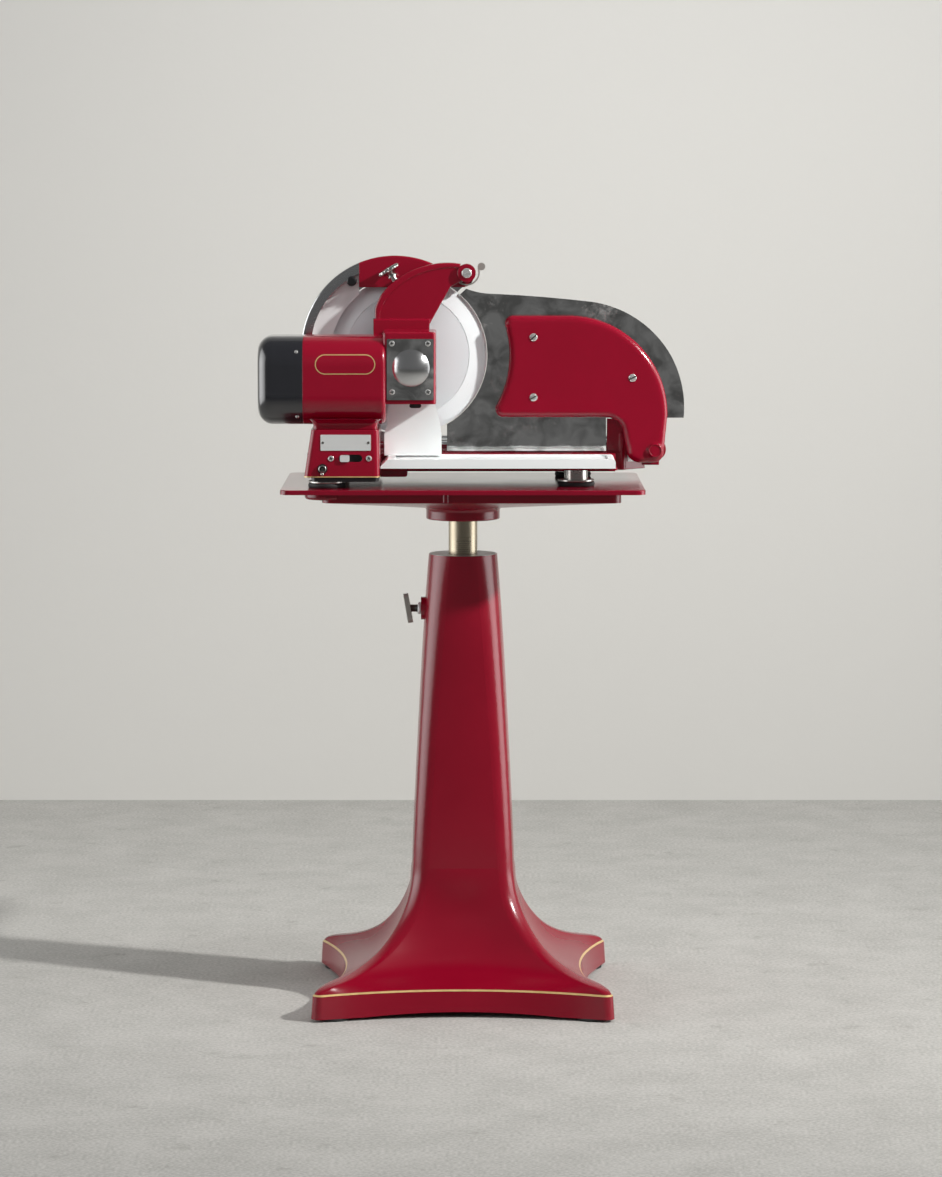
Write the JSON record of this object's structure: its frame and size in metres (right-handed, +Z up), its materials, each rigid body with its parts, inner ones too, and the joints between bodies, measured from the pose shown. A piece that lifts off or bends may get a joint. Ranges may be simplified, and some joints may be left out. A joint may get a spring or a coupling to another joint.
{
  "type": "electric meat slicer on a pedestal",
  "caption": "Vertical-knife meat slicer with motor, gauge plate, carriage and receiving tray on a table that lifts and swivels on a cast pedestal.",
  "frame": {"origin": "on the floor under the axis of the pedestal, in the plane of the floor pads' undersides", "axes": "+Z up along the post, +X towards the gauge plate, away from the motor's end cap, +Y away from the side where the slices come out, towards the carriage"},
  "size_m": [0.7333, 0.517, 1.2944],
  "materials": {
    "floor_rubber": "matt moulded",
    "red_enamel": "gloss enamel",
    "dark_steel": "blackened",
    "post_steel": "turned, slightly tarnished",
    "foot_rubber": "moulded",
    "foot_chrome": "polished",
    "black_gloss": "gloss",
    "black_plastic": "satin",
    "chrome": "polished",
    "plate_aluminium": "satin",
    "blade_steel": "ground and polished",
    "spindle_steel": "ground",
    "guard_steel": "satin stainless",
    "gauge_mirror": "mirror polished",
    "sheet_aluminium": "satin anodised",
    "cast_aluminium": "satin anodised"
  },
  "bodies": {
    "pedestal": {"floor_pad_1": "floor_rubber", "floor_pad_2": "floor_rubber", "floor_pad_3": "floor_rubber", "floor_pad_4": "floor_rubber", "pedestal_column": "red_enamel"},
    "lock_screw": {"lock_screw": "dark_steel"},
    "lift_post": {"lift_post": "post_steel"},
    "table": {"table_cradle": "red_enamel", "stand_table": "red_enamel", "hub_set_screw_1": "dark_steel", "hub_set_screw_2": "dark_steel", "foot_rubber_front_left": "foot_rubber", "foot_rubber_front_right": "foot_rubber", "foot_rubber_rear_left": "foot_rubber", "foot_rubber_rear_right": "foot_rubber", "foot_ring_front_left": "foot_chrome", "foot_ring_front_right": "foot_chrome", "foot_ring_rear_left": "foot_chrome", "foot_ring_rear_right": "foot_chrome", "machine_base": "red_enamel", "base_bottom_cover": "black_plastic", "rating_plate": "plate_aluminium", "switch_body": "black_plastic", "toggle_bezel": "chrome", "cable_gland": "black_plastic", "corner_plate": "chrome", "head_casting": "red_enamel", "motor_end_cap": "black_gloss", "motor_stator": "dark_steel", "gear_cover": "chrome", "sight_dome": "chrome", "guard_ring": "guard_steel", "guard_crescent": "guard_steel", "guard_top_cover": "red_enamel", "guard_latch": "black_plastic", "pivot_pin": "chrome", "slice_deflector": "sheet_aluminium", "carriage_rod": "spindle_steel", "carriage_rail": "spindle_steel"},
    "receiving_tray": {"receiving_tray": "sheet_aluminium"},
    "worm_shaft": {"worm_shaft": "spindle_steel"},
    "knife": {"knife_shaft": "spindle_steel", "knife": "blade_steel", "knife_cap": "spindle_steel", "worm_wheel": "spindle_steel"},
    "gauge": {"gauge_plate": "gauge_mirror", "gauge_casting": "red_enamel", "gauge_shaft": "spindle_steel"},
    "index_knob": {"index_knob": "black_plastic"},
    "carriage": {"carriage_block": "cast_aluminium", "carriage_bed": "cast_aluminium", "carriage_fence": "cast_aluminium", "carriage_handle": "black_plastic", "push_rod": "chrome"},
    "pusher": {"pusher_arm": "cast_aluminium", "pusher_plate": "cast_aluminium"},
    "switch_slider": {"switch_slider": "chrome"},
    "toggle_lever": {"toggle_lever": "chrome"},
    "clamp_knob": {"clamp_knob": "chrome"},
    "guard_lever": {"guard_lever": "chrome"}
  },
  "joints": [
    {"name": "lock_turn", "type": "hinge", "parent": "pedestal", "child": "lock_screw", "pos_m": [-0.1, 0, 0.681], "axis": [1, 0, 0], "range_deg": [-540, 0]},
    {"name": "post_lift", "type": "slide", "parent": "pedestal", "child": "lift_post", "axis": [0, 0, 1], "range_m": [-0.058, 0.14]},
    {"name": "table_swivel", "type": "hinge", "parent": "lift_post", "child": "table", "pos_m": [0, 0, 0.86], "axis": [0, 0, 1], "range_deg": [-90, 90]},
    {"name": "tray_pull", "type": "slide", "parent": "table", "child": "receiving_tray", "axis": [0, -1, 0], "range_m": [0, 0.12]},
    {"name": "knife_spin", "type": "hinge", "parent": "table", "child": "knife", "pos_m": [-0.0962, 0, 1.1223], "axis": [0, 1, 0], "continuous": true},
    {"name": "worm_spin", "type": "hinge", "parent": "table", "child": "worm_shaft", "pos_m": [-0.175, -0.09, 1.0855], "axis": [1, 0, 0], "continuous": true},
    {"name": "gauge_slide", "type": "slide", "parent": "table", "child": "gauge", "axis": [0, -1, 0], "range_m": [0, 0.014]},
    {"name": "index_turn", "type": "hinge", "parent": "table", "child": "index_knob", "pos_m": [0.333, 0.17, 0.958], "axis": [0, 1, 0], "range_deg": [0, 300]},
    {"name": "carriage_slide", "type": "slide", "parent": "table", "child": "carriage", "axis": [1, 0, 0], "range_m": [-0.3, 0.01]},
    {"name": "pusher_slide", "type": "slide", "parent": "carriage", "child": "pusher", "axis": [0, -1, 0], "range_m": [0, 0.08]},
    {"name": "switch_slide", "type": "slide", "parent": "table", "child": "switch_slider", "axis": [1, 0, 0], "range_m": [0, 0.019]},
    {"name": "toggle_flip", "type": "hinge", "parent": "table", "child": "toggle_lever", "pos_m": [-0.2383, -0.166, 0.9368], "axis": [-1, 0, 0], "range_deg": [0, 70]},
    {"name": "clamp_turn", "type": "hinge", "parent": "table", "child": "clamp_knob", "pos_m": [-0.116, -0.0365, 1.251], "axis": [-0.5225, 0, 0.8526], "range_deg": [0, 360]},
    {"name": "lever_press", "type": "hinge", "parent": "table", "child": "guard_lever", "pos_m": [0.0065, -0.0135, 1.2654], "axis": [0, 1, 0], "range_deg": [0, 25], "stiffness_Nm_per_rad": 0.05}
  ],
  "couplings": [
    {"joint": "index_turn", "follows": "gauge_slide", "rad_per_m": 373},
    {"joint": "worm_spin", "follows": "knife_spin", "ratio": 24}
  ]
}
